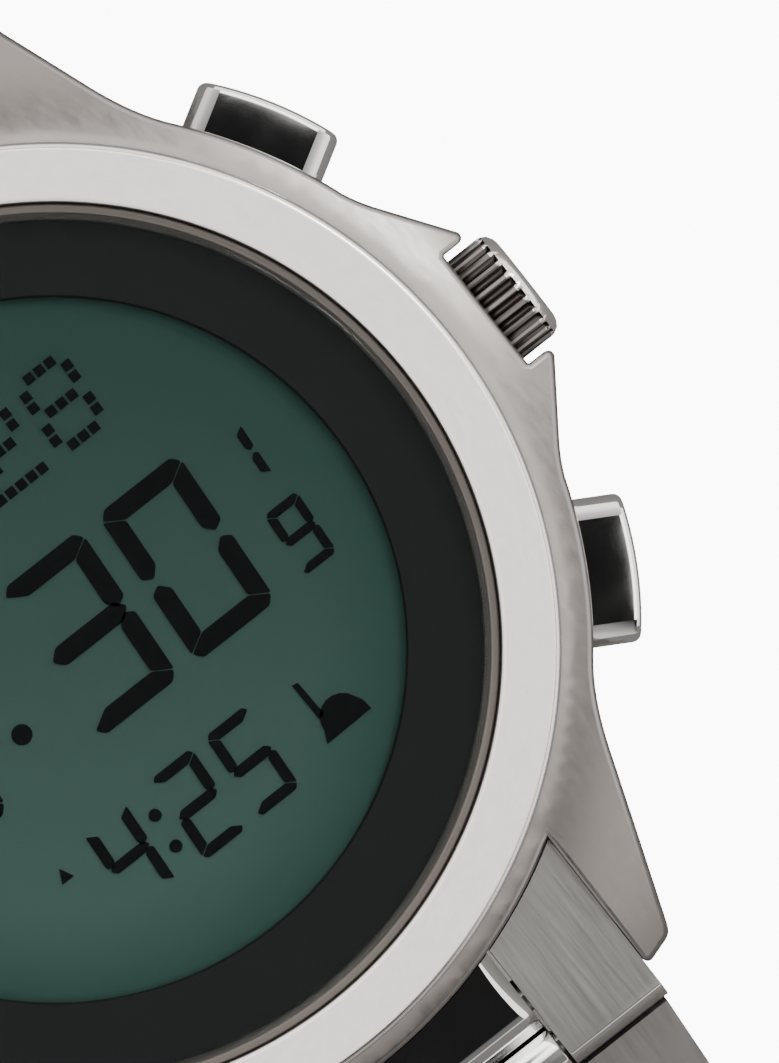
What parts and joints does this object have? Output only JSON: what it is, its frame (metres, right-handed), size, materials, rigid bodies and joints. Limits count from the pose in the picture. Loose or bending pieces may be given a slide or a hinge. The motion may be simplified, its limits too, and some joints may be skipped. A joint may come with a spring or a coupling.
{
  "type": "digital wristwatch",
  "caption": "Round digital wristwatch with a brushed steel case, fluted crown, side pushers and a link bracelet with a folding clasp.",
  "frame": {"origin": "middle of the case back's outer face", "axes": "+Z out through the display, +X towards the crown at 3 o'clock, +Y towards 12 o'clock"},
  "size_m": [0.0463, 0.0658, 0.0523],
  "materials": {
    "case_steel": "fine satin, grain along the case",
    "bezel_steel": "fine satin with a polished edge",
    "link_steel": "lengthwise brushed wings, mirror-polished middle",
    "polished_steel": "mirror polished",
    "spring_steel": "plain drawn",
    "cell_steel": "bright nickel",
    "buzzer_brass": "plain",
    "crystal_glass": "clear, flat, polished",
    "liquid_crystal": "grey-green polariser",
    "backlight_sheet": "diffusing",
    "mask_black": "fine matt",
    "seal_rubber": "moulded",
    "housing_plastic": "moulded",
    "board_green": "solder mask",
    "chip_black": "moulded epoxy"
  },
  "bodies": {
    "case": {"case_middle": "case_steel", "bezel": "bezel_steel", "crystal": "crystal_glass", "crystal_gasket": "seal_rubber", "display_mask": "mask_black", "lcd_panel": "liquid_crystal", "backlight_panel": "backlight_sheet", "connector_strip": "seal_rubber", "module_housing": "housing_plastic", "circuit_board": "board_green", "controller_chip": "chip_black", "battery": "cell_steel", "battery_strap": "spring_steel", "buzzer_disc": "buzzer_brass", "case_back": "case_steel", "case_back_gasket": "seal_rubber", "crown_tube": "spring_steel", "upper_end_link": "link_steel", "upper_spring_bar": "spring_steel", "upper_link_pin_1": "spring_steel", "lower_end_link": "link_steel", "lower_spring_bar": "spring_steel", "lower_link_pin_1": "spring_steel"},
    "upper_pusher": {"upper_pusher": "polished_steel", "upper_pusher_spring": "spring_steel", "upper_pusher_seal": "seal_rubber", "upper_pusher_clip": "spring_steel"},
    "lower_pusher": {"lower_pusher": "polished_steel", "lower_pusher_spring": "spring_steel", "lower_pusher_seal": "seal_rubber", "lower_pusher_clip": "spring_steel"},
    "crown_slide": {"crown_seal": "seal_rubber", "crown_clip": "spring_steel"},
    "crown": {"crown": "polished_steel"},
    "upper_link_1": {"upper_link_1": "link_steel", "upper_link_pin_2": "spring_steel"},
    "upper_link_2": {"upper_link_2": "link_steel", "upper_link_pin_3": "spring_steel"},
    "upper_link_3": {"upper_link_3": "link_steel", "upper_link_pin_4": "spring_steel"},
    "upper_link_4": {"upper_link_4": "link_steel", "upper_link_pin_5": "spring_steel"},
    "upper_link_5": {"upper_link_5": "link_steel", "upper_clasp_bar": "spring_steel"},
    "lower_link_1": {"lower_link_1": "link_steel", "lower_link_pin_2": "spring_steel"},
    "lower_link_2": {"lower_link_2": "link_steel", "lower_link_pin_3": "spring_steel"},
    "lower_link_3": {"lower_link_3": "link_steel", "lower_link_pin_4": "spring_steel"},
    "lower_link_4": {"lower_link_4": "link_steel", "lower_link_pin_5": "spring_steel"},
    "lower_link_5": {"lower_link_5": "link_steel", "lower_clasp_bar": "spring_steel"},
    "clasp_base_blade": {"clasp_base_blade": "polished_steel", "clasp_inner_pin": "spring_steel"},
    "clasp_middle_blade": {"clasp_middle_blade": "polished_steel", "clasp_outer_pin": "spring_steel"},
    "clasp_cover": {"clasp_cover": "link_steel"}
  },
  "joints": [
    {"name": "upper_pusher_press", "type": "slide", "parent": "case", "child": "upper_pusher", "axis": [-0.866, -0.5, 0], "range_m": [0, 0.0008], "stiffness_N_per_m": 600, "springref_m": -0.001, "deforming": ["upper_pusher_spring"]},
    {"name": "lower_pusher_press", "type": "slide", "parent": "case", "child": "lower_pusher", "axis": [-0.866, 0.5, 0], "range_m": [0, 0.0008], "stiffness_N_per_m": 600, "springref_m": -0.001, "deforming": ["lower_pusher_spring"]},
    {"name": "crown_press", "type": "slide", "parent": "case", "child": "crown_slide", "axis": [-1, 0, 0], "range_m": [0, 0.0006], "stiffness_N_per_m": 800, "springref_m": -0.001},
    {"name": "crown_turn", "type": "hinge", "parent": "crown_slide", "child": "crown", "pos_m": [0.0232, 0, 0.0057], "axis": [1, 0, 0], "continuous": true},
    {"name": "upper_link_1_hinge", "type": "hinge", "parent": "case", "child": "upper_link_1", "pos_m": [0, 0.02513, 0.0029], "axis": [1, 0, 0], "range_deg": [0, 28]},
    {"name": "upper_link_2_hinge", "type": "hinge", "parent": "upper_link_1", "child": "upper_link_2", "pos_m": [0, 0.03001, -0.0049], "axis": [1, 0, 0], "range_deg": [0, 28]},
    {"name": "upper_link_3_hinge", "type": "hinge", "parent": "upper_link_2", "child": "upper_link_3", "pos_m": [0, 0.0316, -0.01396], "axis": [1, 0, 0], "range_deg": [0, 28]},
    {"name": "upper_link_4_hinge", "type": "hinge", "parent": "upper_link_3", "child": "upper_link_4", "pos_m": [0, 0.02969, -0.02296], "axis": [1, 0, 0], "range_deg": [0, 28]},
    {"name": "upper_link_5_hinge", "type": "hinge", "parent": "upper_link_4", "child": "upper_link_5", "pos_m": [0, 0.02455, -0.03059], "axis": [1, 0, 0], "range_deg": [0, 28]},
    {"name": "lower_link_1_hinge", "type": "hinge", "parent": "case", "child": "lower_link_1", "pos_m": [0, -0.02513, 0.0029], "axis": [-1, 0, 0], "range_deg": [0, 28]},
    {"name": "lower_link_2_hinge", "type": "hinge", "parent": "lower_link_1", "child": "lower_link_2", "pos_m": [0, -0.03001, -0.0049], "axis": [-1, 0, 0], "range_deg": [0, 28]},
    {"name": "lower_link_3_hinge", "type": "hinge", "parent": "lower_link_2", "child": "lower_link_3", "pos_m": [0, -0.0316, -0.01396], "axis": [-1, 0, 0], "range_deg": [0, 28]},
    {"name": "lower_link_4_hinge", "type": "hinge", "parent": "lower_link_3", "child": "lower_link_4", "pos_m": [0, -0.02969, -0.02296], "axis": [-1, 0, 0], "range_deg": [0, 28]},
    {"name": "lower_link_5_hinge", "type": "hinge", "parent": "lower_link_4", "child": "lower_link_5", "pos_m": [0, -0.02455, -0.03059], "axis": [-1, 0, 0], "range_deg": [0, 28]},
    {"name": "clasp_link_hinge", "type": "hinge", "parent": "upper_link_5", "child": "clasp_base_blade", "pos_m": [0, 0.01692, -0.03573], "axis": [1, 0, 0], "range_deg": [0, 40]},
    {"name": "clasp_fold", "type": "hinge", "parent": "clasp_base_blade", "child": "clasp_middle_blade", "pos_m": [0, -0.0132, -0.03609], "axis": [-1, 0, 0], "range_deg": [0, 120]},
    {"name": "clasp_cover_fold", "type": "hinge", "parent": "clasp_middle_blade", "child": "clasp_cover", "pos_m": [0, 0.0132, -0.03701], "axis": [1, 0, 0], "range_deg": [0, 120]}
  ],
  "couplings": [
    {"joint": "clasp_cover_fold", "follows": "clasp_fold", "ratio": 1}
  ]
}
